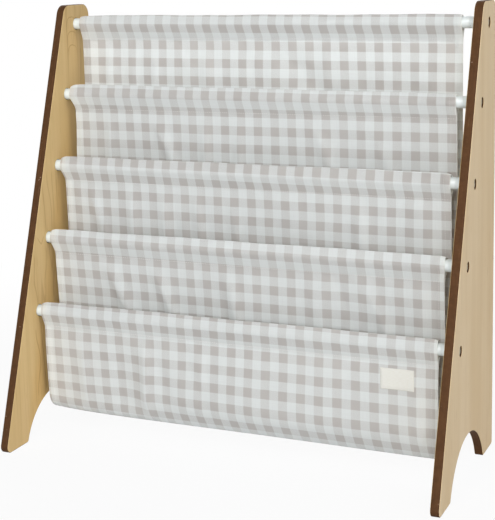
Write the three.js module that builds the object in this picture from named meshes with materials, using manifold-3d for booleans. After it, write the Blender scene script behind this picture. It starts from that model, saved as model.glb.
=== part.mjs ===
// Sling bookshelf for a child's room: two veneered side boards, five rods between them,
// and one sewn cloth whose sleeves hang on the rods and whose slings make four book pockets.
// Millimetres, +Z up. +X runs along the rods, +Y points to the back.
import * as THREE from 'three';
import { mergeVertices } from 'three/addons/utils/BufferGeometryUtils.js';
import Module from 'manifold-3d';

const wasm = await Module();
wasm.setup();

// Whole shelf
const overall_width = 630;
const overall_depth = 274;
const overall_height = 613;

// Side boards: fibreboard core with a veneer on each face
const board_thickness = 12;
const veneer_thickness = 0.6;
const sanded_edge = 0.6;
const top_depth = 68;
const toe_radius = 9;
const heel_radius = 4;
const top_front_radius = 17;
const top_back_radius = 16;
const front_foot_length = 52;
const back_foot_length = 51;
const arch_rise = 60;
const arch_corner_radius = 3;

// Rods
const rod_count = 5;
const rod_diameter = 16;
const rod_wall = 1.2;
const top_rod_drop = 28;
const lowest_rod_height = 183;
const rod_inset = 38;

// End plugs: a collar of the rod's own diameter, and a threaded body inside the tube
const collar_length = 12;
const plug_body_length = 14;
const plug_play = 0.3;
const seat_depth = 1;
const seat_play = 0.7;

// Bolts with a round socket head, sunk into the boards from outside
const thread_diameter = 6;
const thread_play = 0.25;
const bolt_hole_play = 0.4;
const bolt_length = 16;
const head_diameter = 12;
const head_height = 3.3;
const head_crown = 0.9;
const head_sink = 1.6;
const counterbore_play = 1.2;
const key_sides = 6;
const key_flats = 4;
const key_depth = 2.2;

// Cloth
const cloth_left_gap = 8.5;
const cloth_right_gap = 18.5;
const cloth_thickness = 1.2;
const sleeve_play = 0.3;
const seam_drop = 22;
const tail_length = 3;
const layer_gap = 0.3;
const pocket_drop = 152;
const fold_height = 34;
const cloth_lean = 0.035;

// Blank sewn patch on the front of the lowest pocket
const patch_width = 45;
const patch_height = 27;
const patch_thickness = 0.8;
const patch_side_margin = 29;
const patch_drop = 31;
const patch_gap = 0.3;

// Cutting tools run this far past the faces that they cut
const overrun = 1;

// Smoothness of round shapes, in straight steps
const steps = { fillet: 6, arch: 24, hole: 20, rod: 32, plug: 20, thread: 16, fold: 16, sleeve: 28, crown: 3 };

const finish = {
  board: new THREE.MeshStandardMaterial({ color: 0x5d3f29, roughness: 0.7, metalness: 0 }),
  veneer: new THREE.MeshStandardMaterial({ color: 0xcbb492, roughness: 0.55, metalness: 0 }),
  rod: new THREE.MeshStandardMaterial({ color: 0xe4e8e9, roughness: 0.35, metalness: 0.1 }),
  plug: new THREE.MeshStandardMaterial({ color: 0xe9ebea, roughness: 0.45, metalness: 0 }),
  bolt: new THREE.MeshStandardMaterial({ color: 0xb3aea2, roughness: 0.35, metalness: 0.9 }),
  cloth: new THREE.MeshStandardMaterial({ color: 0xcfcac6, roughness: 0.95, metalness: 0 }),
  patch: new THREE.MeshStandardMaterial({ color: 0xe9e4d8, roughness: 0.95, metalness: 0 }),
};

// Sizes that follow from the ones above
const rod_radius = rod_diameter / 2;
const thread_radius = thread_diameter / 2;
const head_radius = head_diameter / 2;
const counterbore_radius = head_radius + counterbore_play;
const counterbore_depth = head_sink + head_height;
const seat_radius = rod_radius + seat_play;
const bolt_hole_radius = thread_radius + bolt_hole_play;
const inner_face = overall_width / 2 - board_thickness;
const half_depth = overall_depth / 2;

// The front edge is the line from the sharp top corner that touches the toe's rounding,
// whose centre is one radius up from the floor and one radius back from the foremost point
const top_corner = { y: overall_depth - top_depth, z: overall_height };
const to_corner = { y: top_corner.y - toe_radius, z: top_corner.z - toe_radius };
const front_angle = Math.atan2(to_corner.y, to_corner.z)
  + Math.asin(toe_radius / Math.hypot(to_corner.y, to_corner.z));
const toe_corner_y = top_corner.y - overall_height * Math.tan(front_angle);

// Rod axes stand on a line parallel to the front edge, evenly spaced and numbered from the top;
// z is up, y is measured from the centre
const rod_rise = (overall_height - top_rod_drop - lowest_rod_height) / (rod_count - 1);

function rodAxis(number) {
  const z = lowest_rod_height + (rod_count - number) * rod_rise;
  const front_edge_y = toe_corner_y + z * Math.tan(front_angle);
  return { y: front_edge_y + rod_inset / Math.cos(front_angle) - half_depth, z };
}

// A flat outline from corner points, each rounded by its own radius
function roundedOutline(corners, segments) {
  const points = [];
  corners.forEach((corner, i) => {
    const here = new THREE.Vector2(corner.y, corner.z);
    const before = corners[(i + corners.length - 1) % corners.length];
    const after = corners[(i + 1) % corners.length];
    if (!corner.radius) {
      points.push(here);
      return;
    }
    const back = new THREE.Vector2(before.y, before.z).sub(here).normalize();
    const ahead = new THREE.Vector2(after.y, after.z).sub(here).normalize();
    const half_angle = Math.acos(back.dot(ahead)) / 2;
    const centre = back.clone().add(ahead).normalize()
      .multiplyScalar(corner.radius / Math.sin(half_angle)).add(here);
    const reach = corner.radius / Math.tan(half_angle);
    const start = back.clone().multiplyScalar(reach).add(here).sub(centre);
    const end = ahead.clone().multiplyScalar(reach).add(here).sub(centre);
    const turn = Math.atan2(start.cross(end), start.dot(end));
    for (let n = 0; n <= segments; n += 1) {
      points.push(start.clone().rotateAround(new THREE.Vector2(), (turn * n) / segments).add(centre));
    }
  });
  return points;
}

// Arc of the arch between two points at one height, rising to the given height above them
function archPoints(from_y, to_y, z, rise, segments) {
  const half_span = (to_y - from_y) / 2;
  const radius = (half_span ** 2 + rise ** 2) / (2 * rise);
  const middle = (from_y + to_y) / 2;
  const half_sweep = Math.asin(half_span / radius);
  const centre_z = z + rise - radius;
  return Array.from({ length: segments + 1 }, (_, n) => {
    const angle = -half_sweep + (2 * half_sweep * n) / segments;
    return { y: middle + radius * Math.sin(angle), z: centre_z + radius * Math.cos(angle) };
  });
}

// Side view of a board; a set-back draws every edge in by that much
function boardOutline(set_back) {
  const front_edge_y = toe_corner_y + set_back / Math.cos(front_angle);
  const slope = Math.tan(front_angle);
  const top = overall_height - set_back;
  const back = overall_depth - set_back;
  const arch = archPoints(overall_depth - back_foot_length, front_foot_length, 0, arch_rise, steps.arch);
  const raised = arch.map((p) => ({ y: p.y, z: p.z + set_back }));
  const corners = [
    { y: front_edge_y + set_back * slope, z: set_back, radius: toe_radius - set_back },
    { y: front_edge_y + top * slope, z: top, radius: top_front_radius - set_back },
    { y: back, z: top, radius: top_back_radius - set_back },
    { y: back, z: set_back, radius: heel_radius - set_back },
    { ...raised[0], radius: arch_corner_radius },
    ...raised.slice(1, -1),
    { ...raised[raised.length - 1], radius: arch_corner_radius },
  ];
  return roundedOutline(corners, steps.fillet).map((p) => new THREE.Vector2(p.x - half_depth, p.y));
}

// A side view pushed along X from one place to another
function pushedAlongX(outline, holes, from_x, to_x) {
  const shape = new THREE.Shape(outline);
  shape.holes = holes.map((hole) => new THREE.Path(hole));
  const geometry = new THREE.ExtrudeGeometry(shape, { depth: to_x - from_x, bevelEnabled: false });
  return geometry.applyMatrix4(new THREE.Matrix4().set(0, 0, 1, from_x, 1, 0, 0, 0, 0, 1, 0, 0, 0, 0, 0, 1));
}

// A turned shape whose axis lies along X; its profile runs outwards on the given side of the shelf
function turnedAlongX(profile, segments, side, origin_x, axis) {
  const geometry = new THREE.LatheGeometry(profile.map(([r, h]) => new THREE.Vector2(r, h)), segments);
  return geometry.applyMatrix4(new THREE.Matrix4()
    .set(0, side, 0, side * origin_x, 0, 0, side, axis.y, 1, 0, 0, axis.z, 0, 0, 0, 1));
}

function toSolid(geometry) {
  const bare = geometry.clone();
  bare.deleteAttribute('normal');
  bare.deleteAttribute('uv');
  const merged = mergeVertices(bare);
  return new wasm.Manifold(new wasm.Mesh({
    numProp: 3,
    vertProperties: new Float32Array(merged.attributes.position.array),
    triVerts: new Uint32Array(merged.index.array),
  }));
}

function cut(geometry, cutters) {
  const solid = cutters.reduce((rest, cutter) => rest.subtract(toSolid(cutter)), toSolid(geometry));
  const { numProp, vertProperties, triVerts } = solid.getMesh();
  const positions = new THREE.InterleavedBufferAttribute(
    new THREE.InterleavedBuffer(vertProperties, numProp), numProp, 0);
  const result = new THREE.BufferGeometry();
  result.setAttribute('position', positions);
  result.setIndex(new THREE.BufferAttribute(triVerts, 1));
  return result.toNonIndexed();
}

const shelf = new THREE.Group();

function add(name, geometry, material) {
  geometry.computeVertexNormals();
  const mesh = new THREE.Mesh(geometry, material);
  mesh.name = name;
  shelf.add(mesh);
}

const rod_numbers = Array.from({ length: rod_count }, (_, n) => n + 1);
const sides = [{ name: 'left', sign: -1 }, { name: 'right', sign: 1 }];

// Places along X that a pushed shape spans, lower first, from two distances out from the middle
function span(side, near, far) {
  return side.sign > 0 ? [near, far] : [-far, -near];
}

// Side boards: each core is bored for a bolt, and stepped for the rod's end and the bolt's head
function boardCutter(side, axis) {
  const seat_floor = inner_face + seat_depth;
  const head_floor = overall_width / 2 - counterbore_depth;
  return turnedAlongX([
    [0, inner_face - overrun],
    [seat_radius, inner_face - overrun],
    [seat_radius, seat_floor],
    [bolt_hole_radius, seat_floor],
    [bolt_hole_radius, head_floor],
    [counterbore_radius, head_floor],
    [counterbore_radius, overall_width / 2 + overrun],
    [0, overall_width / 2 + overrun],
  ], steps.hole, side.sign, 0, axis);
}

for (const side of sides) {
  const cutters = rod_numbers.map((number) => boardCutter(side, rodAxis(number)));
  const layers = [
    ['board', 0, inner_face + veneer_thickness, overall_width / 2 - veneer_thickness, finish.board],
    ['inner_veneer', sanded_edge, inner_face, inner_face + veneer_thickness, finish.veneer],
    ['outer_veneer', sanded_edge, overall_width / 2 - veneer_thickness, overall_width / 2, finish.veneer],
  ];
  for (const [name, set_back, near, far, material] of layers) {
    const whole = pushedAlongX(boardOutline(set_back), [], ...span(side, near, far));
    add(`${side.name}_${name}`, cut(whole, cutters), material);
  }
}

// Rods: tubes that end where the plugs' collars begin
const tube_half_length = inner_face - collar_length;
const tube_bore = rod_radius - rod_wall;
for (const number of rod_numbers) {
  add(`rod_${number}`, turnedAlongX([
    [tube_bore, -tube_half_length],
    [rod_radius, -tube_half_length],
    [rod_radius, tube_half_length],
    [tube_bore, tube_half_length],
    [tube_bore, -tube_half_length],
  ], steps.rod, 1, 0, rodAxis(number)), finish.rod);
}

// Plugs: the body sits in the tube, the collar in the board's seat, and the thread takes the bolt
const bolt_reach = bolt_length - (board_thickness - counterbore_depth - seat_depth);
const plug_end = collar_length + seat_depth;
const plug_body_radius = tube_bore - plug_play;
const thread_bore = thread_radius + thread_play;
const thread_floor = plug_end - bolt_reach - thread_radius;
const plug_profile = [
  [0, -plug_body_length],
  [plug_body_radius, -plug_body_length],
  [plug_body_radius, 0],
  [rod_radius, 0],
  [rod_radius, plug_end],
  [thread_bore, plug_end],
  [thread_bore, thread_floor],
  [0, thread_floor],
];

// Bolts: measured from the shank's tip; the head's crown is a quarter of a flat ellipse
const head_top = bolt_length + head_height;
const key_radius = key_flats / 2 / Math.cos(Math.PI / key_sides);
const crown = Array.from({ length: steps.crown + 1 }, (_, n) => {
  const angle = (n / steps.crown) * (Math.PI / 2);
  const flat_radius = key_radius + thread_play;
  return [
    flat_radius + (head_radius - flat_radius) * Math.cos(angle),
    head_top - head_crown + head_crown * Math.sin(angle),
  ];
});
const bolt_profile = [
  [0, 0],
  [thread_radius, 0],
  [thread_radius, bolt_length],
  [head_radius, bolt_length],
  ...crown,
  [0, head_top],
];

function keyCutter(side, origin_x, axis) {
  const floor = head_top - key_depth;
  return turnedAlongX([
    [0, floor],
    [key_radius, floor],
    [key_radius, head_top + overrun],
    [0, head_top + overrun],
  ], key_sides, side.sign, origin_x, axis);
}

for (const side of sides) {
  for (const number of rod_numbers) {
    const axis = rodAxis(number);
    const plug = turnedAlongX(plug_profile, steps.plug, side.sign, tube_half_length, axis);
    add(`${side.name}_plug_${number}`, plug, finish.plug);
    const tip_x = overall_width / 2 - counterbore_depth - bolt_length;
    const bolt = turnedAlongX(bolt_profile, steps.thread, side.sign, tip_x, axis);
    add(`${side.name}_bolt_${number}`, cut(bolt, [keyCutter(side, tip_x, axis)]), finish.bolt);
  }
}

// Cloth: it hangs a little to the left of the middle
const cloth_left = cloth_left_gap - inner_face;
const cloth_right = inner_face - cloth_right_gap;

// Angle on a circle, from +Y, where the line from a point below the circle touches its front or back
function touchAngle(point_y, point_z, radius) {
  return Math.atan2(point_z, point_y) + Math.acos(radius / Math.hypot(point_y, point_z));
}

// A drop shape: a round top whose two sides run straight down to a point or to a tail
function dropOutline(axis, radius, half_tail, tail) {
  const low = touchAngle(half_tail, -seam_drop, radius);
  const points = Array.from({ length: steps.sleeve + 1 }, (_, n) => {
    const angle = low + ((Math.PI - 2 * low) * n) / steps.sleeve;
    return [radius * Math.cos(angle), radius * Math.sin(angle)];
  });
  points.push([-half_tail, -seam_drop]);
  if (tail) {
    points.push([-half_tail, -seam_drop - tail], [half_tail, -seam_drop - tail], [half_tail, -seam_drop]);
  }
  return points.map(([y, z]) => new THREE.Vector2(axis.y + y, axis.z + z));
}

const sleeve_inside = rod_radius + sleeve_play;
for (const number of rod_numbers) {
  const axis = rodAxis(number);
  const outside = dropOutline(axis, sleeve_inside + cloth_thickness, cloth_thickness, tail_length);
  const inside = dropOutline(axis, sleeve_inside, 0, 0);
  add(`sleeve_${number}`, pushedAlongX(outside, [inside], cloth_left, cloth_right), finish.cloth);
}

// A sling hangs from the seams under two rods: down from the upper one, round the fold at the
// pocket's foot, and up to the lower one, where it lies behind the next sling's start
const layer_offset = (cloth_thickness + layer_gap) / 2;
const hang_below_axis = seam_drop + tail_length + layer_gap;

function leaned(y, top_z, z) {
  return y + cloth_lean * (top_z - z);
}

function slingPath(upper, lower) {
  const back = { y: upper.y - layer_offset, z: upper.z - hang_below_axis };
  const front = { y: lower.y + layer_offset, z: lower.z - hang_below_axis };
  const bottom = lower.z - pocket_drop + cloth_thickness / 2;
  const fold_top = bottom + fold_height;
  const back_y = leaned(back.y, back.z, fold_top);
  const front_y = leaned(front.y, front.z, fold_top);
  const fold = Array.from({ length: steps.fold + 1 }, (_, n) => {
    const angle = (Math.PI * n) / steps.fold;
    return new THREE.Vector2(
      (back_y + front_y) / 2 + ((back_y - front_y) / 2) * Math.cos(angle),
      fold_top - fold_height * Math.sin(angle));
  });
  return [new THREE.Vector2(back.y, back.z), ...fold, new THREE.Vector2(front.y, front.z)];
}

// Both faces of a strip of cloth along a path in the side view
function stripOutline(path, thickness) {
  const faces = path.map((point, i) => {
    const before = path[Math.max(i - 1, 0)];
    const after = path[Math.min(i + 1, path.length - 1)];
    const along = after.clone().sub(before).normalize();
    const across = new THREE.Vector2(-along.y, along.x).multiplyScalar(thickness / 2);
    return [point.clone().add(across), point.clone().sub(across)];
  });
  return [...faces.map((pair) => pair[0]), ...faces.map((pair) => pair[1]).reverse()];
}

for (const number of rod_numbers.slice(0, -1)) {
  const path = slingPath(rodAxis(number), rodAxis(number + 1));
  const outline = stripOutline(path, cloth_thickness);
  add(`sling_${number}`, pushedAlongX(outline, [], cloth_left, cloth_right), finish.cloth);
}

// Patch: lies on the front of the lowest pocket, with the same lean as the cloth
const lowest_rod = rodAxis(rod_count);
const patch_right = cloth_right - patch_side_margin;
const patch_back = [patch_drop, patch_drop + patch_height].map((drop) => {
  const z = lowest_rod.z - drop;
  const face_y = leaned(lowest_rod.y + layer_offset, lowest_rod.z - hang_below_axis, z);
  return new THREE.Vector2(face_y - cloth_thickness / 2 - patch_gap, z);
});
const patch_front = patch_back.map((p) => new THREE.Vector2(p.x - patch_thickness, p.y));
const patch_outline = [...patch_back, ...patch_front.reverse()];
add('blank_patch', pushedAlongX(patch_outline, [], patch_right - patch_width, patch_right), finish.patch);

export default shelf;
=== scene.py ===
"""Sling bookshelf: veneered side boards, round rods, and gingham slings that hang from the rods.

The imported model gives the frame, in metres: +X along the rods, +Y to the back, +Z up.
"""

import math

import bmesh
import bpy
import numpy as np
from bpy.props import FloatProperty, FloatVectorProperty, IntProperty, PointerProperty
from mathutils import Matrix, Vector


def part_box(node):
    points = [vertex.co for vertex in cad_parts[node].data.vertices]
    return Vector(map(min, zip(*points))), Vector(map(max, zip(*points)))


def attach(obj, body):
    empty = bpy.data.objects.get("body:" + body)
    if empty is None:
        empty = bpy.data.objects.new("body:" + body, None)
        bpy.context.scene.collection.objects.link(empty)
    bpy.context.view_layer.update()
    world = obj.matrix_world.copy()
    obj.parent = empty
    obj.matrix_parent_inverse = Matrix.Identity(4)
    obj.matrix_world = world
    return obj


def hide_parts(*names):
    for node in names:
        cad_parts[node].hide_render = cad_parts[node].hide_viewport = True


bl_info = {
    "name": "Sling bookshelf",
    "version": (1, 0, 0),
    "blender": (4, 5, 0),
    "location": "View3D > Sidebar > Bookshelf",
    "description": "Builds the boards, rods, fixings and sewn slings of a child's bookshelf",
    "category": "Object",
}

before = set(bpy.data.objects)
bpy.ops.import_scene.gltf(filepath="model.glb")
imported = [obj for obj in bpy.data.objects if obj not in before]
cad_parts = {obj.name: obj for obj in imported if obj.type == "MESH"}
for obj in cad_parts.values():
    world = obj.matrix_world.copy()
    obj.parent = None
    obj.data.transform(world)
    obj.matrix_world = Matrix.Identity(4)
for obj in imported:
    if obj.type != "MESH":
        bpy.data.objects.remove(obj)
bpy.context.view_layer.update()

MM = 0.001
FULL_TURN = 2 * math.pi
ROD_NUMBERS = (1, 2, 3, 4, 5)
SIDES = (("left", -1), ("right", 1))


# Places that come from the frame

def rod_axis(number):
    """Middle of a rod in the side view, as (y, z)."""
    low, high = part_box(f"rod_{number}")
    return np.array([(low.y + high.y) / 2, (low.z + high.z) / 2])


def radius_of(node):
    """Half of a node's height."""
    low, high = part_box(node)
    return (high.z - low.z) / 2


def near_and_far(node):
    """A node's two ends along X with the side's sign taken off, the inner one first."""
    return sorted(abs(corner.x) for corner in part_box(node))


def board_span(side):
    """Inner and outer face of a side board along X, with the side's sign taken off."""
    return near_and_far(f"{side}_inner_veneer")[0], near_and_far(f"{side}_outer_veneer")[1]


# Arrays

def unit(vectors):
    """Vectors divided by their lengths."""
    return vectors / (np.linalg.norm(vectors, axis=-1, keepdims=True) + 1e-12)


def arc(angle, radius):
    """Points of a circle round nought, at some angles."""
    return np.stack([np.cos(angle), np.sin(angle)], -1) * radius


def run_along(points):
    """Distance along a path from its first point to each point."""
    return np.concatenate([[0], np.cumsum(np.linalg.norm(np.diff(points, axis=0), axis=1))])


def read_path(at, places, path):
    """A path's points at some places, with straight lines between the places that are known."""
    return np.stack([np.interp(at, places, column) for column in path.T], -1)


def smooth_step(value, low, high):
    """0 up to the low end, 1 from the high end, and 3 s s - 2 s s s between them."""
    share = np.clip((value - low) / (high - low), 0, 1)
    return share * share * (3 - 2 * share)


# Meshes from grids of points

def grid_faces(rows, columns, close_rows=False, close_columns=False):
    """Corner numbers of the faces of a grid whose points are numbered row by row."""
    row = np.arange(rows if close_rows else rows - 1)[:, None]
    column = np.arange(columns if close_columns else columns - 1)[None, :]
    next_row, next_column = (row + 1) % rows, (column + 1) % columns
    corners = [row * columns + column, row * columns + next_column,
               next_row * columns + next_column, next_row * columns + column]
    return np.stack(corners, -1).reshape(-1, 4)


def new_mesh(name, points, faces, uv=None):
    """A mesh from whole arrays of points, faces and flat coordinates."""
    mesh = bpy.data.meshes.new(name)
    points = points.reshape(-1, 3)
    mesh.vertices.add(len(points))
    mesh.vertices.foreach_set("co", points.astype(np.float32).ravel())
    mesh.loops.add(faces.size)
    mesh.loops.foreach_set("vertex_index", faces.astype(np.int32).ravel())
    mesh.polygons.add(len(faces))
    starts = np.arange(0, faces.size, faces.shape[1], dtype=np.int32)
    mesh.polygons.foreach_set("loop_start", starts)
    mesh.update(calc_edges=True)
    if uv is not None:
        layer = mesh.uv_layers.new(name="Flat cloth")
        layer.data.foreach_set("uv", uv.reshape(-1, 2)[faces.ravel()].astype(np.float32).ravel())
    return mesh


def close_mesh(mesh, flats=()):
    """Fills each flat face between its closed rings of point numbers, merges points that
    coincide, and turns every face outwards."""
    work = bmesh.new()
    work.from_mesh(mesh)
    work.verts.ensure_lookup_table()
    for rings in flats:
        edges = []
        for ring in rings:
            for a, b in zip(ring, ring[1:] + ring[:1]):
                pair = (work.verts[a], work.verts[b])
                edges.append(work.edges.get(pair) or work.edges.new(pair))
        bmesh.ops.triangle_fill(work, edges=edges, use_beauty=True)
    bmesh.ops.remove_doubles(work, verts=work.verts, dist=1e-7)
    bmesh.ops.recalc_face_normals(work, faces=work.faces)
    work.to_mesh(mesh)
    work.free()


def add_object(name, data):
    """A new object in the scene, at the origin."""
    thing = bpy.data.objects.new(name, data)
    bpy.context.scene.collection.objects.link(thing)
    return thing


def place(name, mesh, material, nodes=(), sharp=None):
    """A piece that shows the mesh, rides on the frame, stands for some nodes and takes its
    finish from a slot. It is smooth, but for edges where faces meet past the sharp angle."""
    mesh.polygons.foreach_set("use_smooth", [True] * len(mesh.polygons))
    if sharp:
        mesh.set_sharp_from_angle(angle=math.radians(sharp))
    piece = add_object(name, mesh)
    mesh.materials.append(material)
    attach(piece, "root")
    if nodes:
        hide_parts(*nodes)
    return piece


class Shape:
    """Gathers grids of closed rings and flat faces, then makes one closed mesh of them."""

    def __init__(self):
        self.points, self.faces, self.flats, self.count = [], [], [], 0

    def grid(self, points, close_rows=False):
        """Adds faces between neighbouring rings. Returns the point numbers of both end rings."""
        rows, columns = points.shape[:2]
        self.points.append(points.reshape(-1, 3))
        self.faces.append(grid_faces(rows, columns, close_rows, True) + self.count)
        first = list(range(self.count, self.count + columns))
        self.count += rows * columns
        return first, list(range(self.count - columns, self.count))

    def build(self, name, material, slot, node, sharp=35.0):
        mesh = new_mesh(name, np.concatenate(self.points), np.concatenate(self.faces))
        close_mesh(mesh, self.flats)
        return place(name, mesh, material, [node], sharp)


def circled(radius, along, turn, axis, side):
    """Rings round a rod's axis: each ring's radius at each angle, and its place along X."""
    y, z = axis[0] + radius * np.cos(turn), axis[1] + radius * np.sin(turn)
    return np.stack([np.broadcast_to(side * along[:, None], y.shape), y, z], -1)


def turned(profile, axis, side, segments):
    """A profile of (radius, place along X) swept in a full circle round a rod's axis."""
    radius, along = np.asarray(profile, float).T
    turn = np.linspace(0, FULL_TURN, segments, endpoint=False)
    return circled(radius[:, None], along, turn, axis, side)


# Shader nodes

class Value:
    """A number that varies over a surface. Plain arithmetic on it adds math nodes."""

    def __init__(self, wires, socket):
        self.wires, self.socket = wires, socket

    def __add__(self, other):
        return self.wires.math("ADD", self, other)

    def __sub__(self, other):
        return self.wires.math("SUBTRACT", self, other)

    def __rsub__(self, other):
        return self.wires.math("SUBTRACT", other, self)

    def __mul__(self, other):
        return self.wires.math("MULTIPLY", self, other)

    def __truediv__(self, other):
        return self.wires.math("DIVIDE", self, other)

    def __pow__(self, other):
        return self.wires.math("POWER", self, other)

    def __abs__(self):
        return self.wires.math("ABSOLUTE", self)

    def most(self, other):
        return self.wires.math("MAXIMUM", self, other)

    def zigzag(self, period):
        """Distance to the nearest multiple of the period, in periods: up to a half and back."""
        return self.wires.math("PINGPONG", self / period, 0.5)

    def span(self, low, high, to_low=0.0, to_high=1.0):
        """A smooth step from one result at the low end to another at the high end."""
        inputs = {0: self, 1: low, 2: high, 3: to_low, 4: to_high}
        node = self.wires.add("ShaderNodeMapRange", inputs, interpolation_type="SMOOTHSTEP")
        return Value(self.wires, node.outputs[0])


class Wiring:
    """Short calls that add nodes to one material or world and join them."""

    def __init__(self, owner, output="ShaderNodeOutputMaterial"):
        self.owner = owner
        owner.use_nodes = True
        self.nodes, self.links = owner.node_tree.nodes, owner.node_tree.links
        self.nodes.clear()
        self.output = self.add(output)

    def add(self, kind, inputs=None, **settings):
        node = self.nodes.new(kind)
        for key, value in settings.items():
            setattr(node, key, value)
        for key, value in (inputs or {}).items():
            self.join(value, node.inputs[key])
        return node

    def join(self, value, socket):
        if isinstance(value, Value):
            value = value.socket
        if isinstance(value, bpy.types.NodeSocket):
            self.links.new(value, socket)
        else:
            socket.default_value = value

    def math(self, operation, first, second=0.0):
        node = self.add("ShaderNodeMath", {0: first, 1: second}, operation=operation)
        return Value(self, node.outputs[0])

    def noise(self, vector, scale=1.0, detail=2.0, roughness=0.5):
        inputs = {"Vector": vector, "Scale": scale, "Detail": detail, "Roughness": roughness}
        return Value(self, self.add("ShaderNodeTexNoise", inputs).outputs[0])

    def stretched(self, places, scales, detail=2.0):
        """Noise that is finer along one place than along another: each has its own scale."""
        inputs = {i: place_at * scale for i, (place_at, scale) in enumerate(zip(places, scales))}
        return self.noise(self.add("ShaderNodeCombineXYZ", inputs).outputs[0], detail=detail)

    def layered(self, ground, *layers):
        """A ground colour under layers of (how much of it covers, colour), the last on top."""
        shade = (*ground, 1.0)
        for cover, colour in layers:
            inputs = {0: cover, 6: shade, 7: (*colour, 1.0)}
            shade = self.add("ShaderNodeMix", inputs, data_type="RGBA").outputs[2]
        return shade

    def rays(self, *kinds):
        """1 for light rays of these kinds, and 0 for all others."""
        path = self.add("ShaderNodeLightPath").outputs
        seen, *others = (Value(self, path[f"Is {kind} Ray"]) for kind in kinds)
        for other in others:
            seen = seen.most(other)
        return seen

    def blend(self, share, first, second):
        """Shows the second shader by a share, and the first one by the rest."""
        inputs = {0: share, 1: first.outputs[0], 2: second.outputs[0]}
        both = self.add("ShaderNodeMixShader", inputs)
        self.join(both.outputs[0], self.output.inputs["Surface"])
        return self.owner

    def surface(self, shade, height, distance, strength, **sockets):
        """The finished material: a colour, a bump of some height map, and other sockets."""
        bump = self.add("ShaderNodeBump",
                        {"Height": height, "Distance": distance, "Strength": strength})
        names = {key.replace("_", " ").title().replace("Ior", "IOR"): value
                 for key, value in sockets.items()}
        names.update({"Base Color": shade, "Normal": bump.outputs[0]})
        shader = self.add("ShaderNodeBsdfPrincipled", names)
        self.join(shader.outputs[0], self.output.inputs["Surface"])
        return self.owner

    def parts(self, vector, count):
        """A vector's first numbers, and the vector itself."""
        outputs = self.add("ShaderNodeSeparateXYZ", {0: vector}).outputs
        return *(Value(self, output) for output in outputs[:count]), vector

    def object_place(self):
        """Place on the piece along X, Y and Z, in metres, and the three as one vector."""
        return self.parts(self.add("ShaderNodeTexCoord").outputs["Object"], 3)

    def flat_place(self):
        """Place on the cloth before it was sewn, across and along, in metres, and the vector."""
        return self.parts(self.add("ShaderNodeUVMap", uv_map="Flat cloth").outputs[0], 2)


def material_wires(name):
    return Wiring(bpy.data.materials.new(name))


# Settings that a user would change

def length_setting(name, description, default):
    """A length that a user may change, in metres."""
    return FloatProperty(name=name, description=description, default=default, unit="LENGTH")


def colour_setting(name, description, default):
    """A colour that a user may change."""
    return FloatVectorProperty(name=name, description=description, default=default,
                               subtype="COLOR", size=3)


class BoardSettings(bpy.types.PropertyGroup):
    """Sizes and colours of the side boards."""
    arris: length_setting("Arris", "Radius of the sanded edges", 0.5 * MM)
    # The inner maple is darker and more orange than the outer: partly the veneer's own tone, partly
    # painted shade of the shelf's inside
    inner_veneer: colour_setting("Inner veneer", "Maple of the faces that look inwards",
                                 (0.695, 0.497, 0.234))
    outer_veneer: colour_setting("Outer veneer", "Maple of the faces that look outwards",
                                 (0.78, 0.600, 0.366))
    edge: colour_setting("Edge", "Stained fibreboard between the veneers", (0.088, 0.039, 0.015))


class RodSettings(bpy.types.PropertyGroup):
    """Sizes and colours of the rods, their plugs and their bolts."""
    segments: IntProperty(name="Segments", description="Steps round a rod", default=64, min=12)
    paint: colour_setting("Powder coat", "White of the tubes", (0.73, 0.79, 0.80))
    plastic: colour_setting("Plug plastic", "White of the end plugs", (0.72, 0.78, 0.79))
    zinc: colour_setting("Zinc", "Plating of the bolts", (0.44, 0.40, 0.30))


class ClothSettings(bpy.types.PropertyGroup):
    """Sizes and colours of the slings."""
    thickness: length_setting("Thickness", "Thickness of one layer of cloth", 0.5 * MM)
    hem: length_setting("Side hem", "Width that is folded over at each side", 11 * MM)
    check_width: length_setting("Check width", "Width of one square of the gingham", 12.5 * MM)
    check_height: length_setting("Check height", "Height of one square of the gingham", 12.68 * MM)
    thread_pitch: length_setting("Thread pitch", "Distance between neighbouring threads", 0.6 * MM)
    white: colour_setting("White", "Undyed squares", (0.709, 0.738, 0.729))
    grey: colour_setting("Grey", "Dyed squares", (0.478, 0.456, 0.437))
    stitch: colour_setting("Sewing thread", "Thread of the seams and hems", (0.78, 0.775, 0.74))
    patch: colour_setting("Patch", "Blank sewn patch", (0.715, 0.71, 0.665))


class StageSettings(bpy.types.PropertyGroup):
    """Camera and light."""
    lens: FloatProperty(
        name="Lens", description="Focal length in millimetres on a 36 mm wide sensor",
        default=90.19)
    daylight: FloatProperty(
        name="Daylight", description="Strength of the light from all round", default=0.08)
    key: FloatProperty(
        name="Window light", description="Power of the large lamp in front, in watts",
        default=118.0)


# Boards

def rounded_outline(corners, segments):
    """Closed outline through corner points (y, z, radius). Each corner is an arc that
    touches its two edges: its centre lies on the corner's bisector."""
    places = np.array([corner[:2] for corner in corners])
    before, after = np.roll(places, 1, 0), np.roll(places, -1, 0)
    points = []
    for here, last, ahead, (_, _, radius) in zip(places, before, after, corners):
        if not radius:
            points.append(here[None])
            continue
        back, on = unit(last - here), unit(ahead - here)
        half = math.acos(np.clip(back @ on, -1, 1)) / 2
        centre = here + unit(back + on) * radius / math.sin(half)
        reach = radius / math.tan(half)
        start, end = here + back * reach - centre, here + on * reach - centre
        first = math.atan2(start[1], start[0])
        turn = math.atan2(start[0] * end[1] - start[1] * end[0], start @ end)
        points.append(arc(first + turn * np.linspace(0, 1, segments + 1), radius) + centre)
    return np.concatenate(points)


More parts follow.
